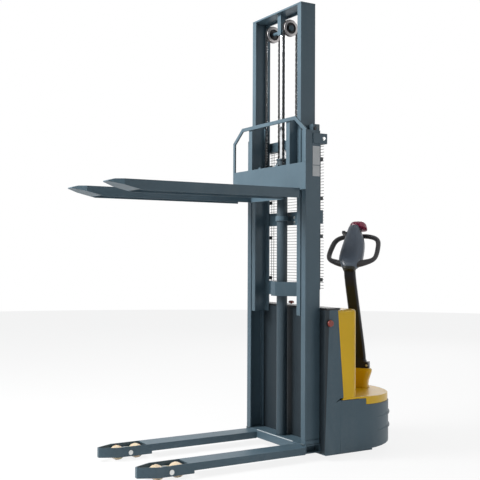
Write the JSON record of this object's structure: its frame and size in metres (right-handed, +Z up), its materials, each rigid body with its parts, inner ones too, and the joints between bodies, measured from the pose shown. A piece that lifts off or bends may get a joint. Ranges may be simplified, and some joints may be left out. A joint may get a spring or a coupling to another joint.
{
  "type": "walkie stacker",
  "caption": "Pedestrian pallet stacker with a two-stage mast, chain-lifted forks over straddle legs, rounded drive body, steerable tiller and rocking load wheels.",
  "frame": {"origin": "on the floor under the middle of the bounding box, with the mast part raised and the tiller part turned as stored", "axes": "+Z up, forks point to -Y, the operator stands at +Y, the truck's left side is +X"},
  "size_m": [0.81, 1.996, 2.6735],
  "materials": {
    "slate_paint": "smooth satin slate-grey powder coat",
    "yellow_paint": "glossy yellow moulded cover paint",
    "black_plastic": "fine grained black plastic",
    "black_metal": "satin black coat",
    "bright_steel": "machined bare steel",
    "chrome_rod": "polished hard chrome",
    "chain_steel": "oiled dark leaf chain",
    "polyurethane": "cream polyurethane tread",
    "red_plastic": "glossy red plastic",
    "crimson_plastic": "glossy crimson plastic",
    "drive_tyre": "black solid drive tread",
    "cast_grey": "cast grey iron",
    "guard_wire": "dark coated welded wire"
  },
  "bodies": {
    "chassis": {"base_crossbeam": "slate_paint", "support_leg_left": "slate_paint", "support_leg_right": "slate_paint", "outer_mast_left": "slate_paint", "outer_mast_right": "slate_paint", "mast_top_tie": "slate_paint", "mast_mid_tie": "slate_paint", "lift_cylinder": "slate_paint", "chain_rear_left": "chain_steel", "chain_rear_right": "chain_steel", "mesh_guard": "guard_wire", "body_housing": "slate_paint", "rear_cover": "yellow_paint", "drive_skirt": "slate_paint", "drive_deck": "yellow_paint", "chassis_frame": "slate_paint", "battery_pack": "black_plastic", "hydraulic_power_unit": "bright_steel"},
    "inner_mast": {"inner_mast_left": "slate_paint", "inner_mast_right": "slate_paint", "inner_mast_top_beam": "slate_paint", "inner_mast_lower_tie": "slate_paint", "lift_rod": "chrome_rod", "chain_front_left": "chain_steel", "chain_front_right": "chain_steel"},
    "carriage": {"carriage_plate": "slate_paint", "carriage_side_left": "slate_paint", "carriage_side_right": "slate_paint", "fork_left": "slate_paint", "fork_right": "slate_paint", "load_backrest": "slate_paint"},
    "steering": {"steering_head": "cast_grey", "drive_motor": "black_metal", "tiller_base": "yellow_paint"},
    "tiller": {"tiller_arm": "black_metal", "tiller_head": "black_plastic"},
    "chain_sheave_left": {"chain_sheave_left": "cast_grey"},
    "inner_roller_left": {"inner_roller_left": "bright_steel"},
    "guide_roller_left": {"guide_roller_left": "bright_steel"},
    "carriage_roller_left_low": {"carriage_roller_left_low": "bright_steel"},
    "carriage_roller_left_high": {"carriage_roller_left_high": "bright_steel"},
    "bogie_left": {"bogie_left": "bright_steel"},
    "load_wheel_left_front": {"load_wheel_left_front": "polyurethane"},
    "load_wheel_left_rear": {"load_wheel_left_rear": "polyurethane"},
    "chain_sheave_right": {"chain_sheave_right": "cast_grey"},
    "inner_roller_right": {"inner_roller_right": "bright_steel"},
    "guide_roller_right": {"guide_roller_right": "bright_steel"},
    "carriage_roller_right_low": {"carriage_roller_right_low": "bright_steel"},
    "carriage_roller_right_high": {"carriage_roller_right_high": "bright_steel"},
    "bogie_right": {"bogie_right": "bright_steel"},
    "load_wheel_right_front": {"load_wheel_right_front": "polyurethane"},
    "load_wheel_right_rear": {"load_wheel_right_rear": "polyurethane"},
    "drive_wheel": {"drive_wheel": "drive_tyre"},
    "belly_button": {"belly_button": "crimson_plastic"},
    "throttle_wings": {"throttle_wings": "black_plastic"},
    "lift_rocker": {"lift_rocker": "black_plastic"},
    "battery_lid": {"battery_lid": "black_plastic"},
    "emergency_stop": {"emergency_stop": "red_plastic"},
    "key_switch": {"key_switch": "bright_steel"},
    "battery_disconnect_knob": {"battery_disconnect_knob": "red_plastic"}
  },
  "joints": [
    {"name": "mast_lift", "type": "slide", "parent": "chassis", "child": "inner_mast", "axis": [0, 0, 1], "range_m": [-0.739, 0.566], "deforming": ["chain_rear_left", "chain_rear_right"]},
    {"name": "carriage_lift", "type": "slide", "parent": "inner_mast", "child": "carriage", "axis": [0, 0, 1], "range_m": [-0.739, 0.566], "deforming": ["chain_front_left", "chain_front_right"]},
    {"name": "chain_sheave_left_spin", "type": "hinge", "parent": "inner_mast", "child": "chain_sheave_left", "pos_m": [0.094, 0.255, 2.558], "axis": [-1, 0, 0], "range_deg": [-901.9, 691]},
    {"name": "inner_roller_left_spin", "type": "hinge", "parent": "inner_mast", "child": "inner_roller_left", "pos_m": [0.289, 0.2645, 0.8785], "axis": [-1, 0, 0], "range_deg": [-1059.6, 811.8]},
    {"name": "guide_roller_left_spin", "type": "hinge", "parent": "chassis", "child": "guide_roller_left", "pos_m": [0.2873, 0.2645, 1.885], "axis": [0, 1, 0], "range_deg": [-2229.6, 1707.9]},
    {"name": "carriage_roller_left_low_spin", "type": "hinge", "parent": "carriage", "child": "carriage_roller_left_low", "pos_m": [0.244, 0.2645, 1.648], "axis": [-1, 0, 0], "range_deg": [-1059.6, 811.8]},
    {"name": "carriage_roller_left_high_spin", "type": "hinge", "parent": "carriage", "child": "carriage_roller_left_high", "pos_m": [0.244, 0.2645, 1.925], "axis": [-1, 0, 0], "range_deg": [-1059.6, 811.8]},
    {"name": "bogie_rock_left", "type": "hinge", "parent": "chassis", "child": "bogie_left", "pos_m": [0.2645, -0.642, 0.046], "axis": [1, 0, 0], "range_deg": [-4, 4]},
    {"name": "load_wheel_left_front_spin", "type": "hinge", "parent": "bogie_left", "child": "load_wheel_left_front", "pos_m": [0.2645, -0.7005, 0.04], "axis": [1, 0, 0], "continuous": true},
    {"name": "load_wheel_left_rear_spin", "type": "hinge", "parent": "bogie_left", "child": "load_wheel_left_rear", "pos_m": [0.2645, -0.5835, 0.04], "axis": [1, 0, 0], "continuous": true},
    {"name": "chain_sheave_right_spin", "type": "hinge", "parent": "inner_mast", "child": "chain_sheave_right", "pos_m": [-0.094, 0.255, 2.558], "axis": [-1, 0, 0], "range_deg": [-901.9, 691]},
    {"name": "inner_roller_right_spin", "type": "hinge", "parent": "inner_mast", "child": "inner_roller_right", "pos_m": [-0.289, 0.2645, 0.8785], "axis": [-1, 0, 0], "range_deg": [-1059.6, 811.8]},
    {"name": "guide_roller_right_spin", "type": "hinge", "parent": "chassis", "child": "guide_roller_right", "pos_m": [-0.2873, 0.2645, 1.885], "axis": [0, -1, 0], "range_deg": [-2229.6, 1707.9]},
    {"name": "carriage_roller_right_low_spin", "type": "hinge", "parent": "carriage", "child": "carriage_roller_right_low", "pos_m": [-0.244, 0.2645, 1.648], "axis": [-1, 0, 0], "range_deg": [-1059.6, 811.8]},
    {"name": "carriage_roller_right_high_spin", "type": "hinge", "parent": "carriage", "child": "carriage_roller_right_high", "pos_m": [-0.244, 0.2645, 1.925], "axis": [-1, 0, 0], "range_deg": [-1059.6, 811.8]},
    {"name": "bogie_rock_right", "type": "hinge", "parent": "chassis", "child": "bogie_right", "pos_m": [-0.2645, -0.642, 0.046], "axis": [1, 0, 0], "range_deg": [-4, 4]},
    {"name": "load_wheel_right_front_spin", "type": "hinge", "parent": "bogie_right", "child": "load_wheel_right_front", "pos_m": [-0.2645, -0.7005, 0.04], "axis": [1, 0, 0], "continuous": true},
    {"name": "load_wheel_right_rear_spin", "type": "hinge", "parent": "bogie_right", "child": "load_wheel_right_rear", "pos_m": [-0.2645, -0.5835, 0.04], "axis": [1, 0, 0], "continuous": true},
    {"name": "steering", "type": "hinge", "parent": "chassis", "child": "steering", "pos_m": [0, 0.873, 0.33], "axis": [0, 0, 1], "range_deg": [-125, 55]},
    {"name": "drive_wheel_spin", "type": "hinge", "parent": "steering", "child": "drive_wheel", "pos_m": [0, 0.873, 0.11], "axis": [0.8192, 0.5736, 0], "continuous": true},
    {"name": "tiller_tilt", "type": "hinge", "parent": "steering", "child": "tiller", "pos_m": [0, 0.873, 0.43], "axis": [-0.8192, -0.5736, 0], "range_deg": [0, 75], "stiffness_Nm_per_rad": 40, "springref_deg": -17.19},
    {"name": "belly_press", "type": "slide", "parent": "tiller", "child": "belly_button", "axis": [0.2954, -0.4219, -0.8572], "range_m": [0, 0.008], "stiffness_N_per_m": 600, "springref_m": -0.004},
    {"name": "throttle_turn", "type": "hinge", "parent": "tiller", "child": "throttle_wings", "pos_m": [0.05449, 0.79518, 1.35801], "axis": [0.8192, 0.5736, 0], "range_deg": [-25, 25], "stiffness_Nm_per_rad": 0.6},
    {"name": "lift_rocker_tilt", "type": "hinge", "parent": "tiller", "child": "lift_rocker", "pos_m": [0.07435, 0.76681, 1.24348], "axis": [0.8192, 0.5736, 0], "range_deg": [-8, 8], "stiffness_Nm_per_rad": 0.6},
    {"name": "lid_open", "type": "hinge", "parent": "chassis", "child": "battery_lid", "pos_m": [0, 0.4177, 0.88], "axis": [-1, 0, 0], "range_deg": [0, 100]},
    {"name": "emergency_press", "type": "slide", "parent": "chassis", "child": "emergency_stop", "axis": [0, 0, -1], "range_m": [0, 0.006], "stiffness_N_per_m": 600, "springref_m": -0.003},
    {"name": "key_turn", "type": "hinge", "parent": "chassis", "child": "key_switch", "pos_m": [-0.31, 0.458, 0.868], "axis": [0, 0, 1], "range_deg": [0, 90]},
    {"name": "disconnect_pull", "type": "slide", "parent": "chassis", "child": "battery_disconnect_knob", "axis": [1, 0, 0], "range_m": [0, 0.012]}
  ],
  "couplings": [
    {"joint": "carriage_lift", "follows": "mast_lift", "ratio": 1},
    {"joint": "chain_sheave_left_spin", "follows": "mast_lift", "rad_per_m": 21.277},
    {"joint": "inner_roller_left_spin", "follows": "mast_lift", "rad_per_m": 25},
    {"joint": "guide_roller_left_spin", "follows": "mast_lift", "rad_per_m": 52.632},
    {"joint": "carriage_roller_left_low_spin", "follows": "mast_lift", "rad_per_m": 25},
    {"joint": "carriage_roller_left_high_spin", "follows": "mast_lift", "rad_per_m": 25},
    {"joint": "chain_sheave_right_spin", "follows": "mast_lift", "rad_per_m": 21.277},
    {"joint": "inner_roller_right_spin", "follows": "mast_lift", "rad_per_m": 25},
    {"joint": "guide_roller_right_spin", "follows": "mast_lift", "rad_per_m": 52.632},
    {"joint": "carriage_roller_right_low_spin", "follows": "mast_lift", "rad_per_m": 25},
    {"joint": "carriage_roller_right_high_spin", "follows": "mast_lift", "rad_per_m": 25}
  ]
}
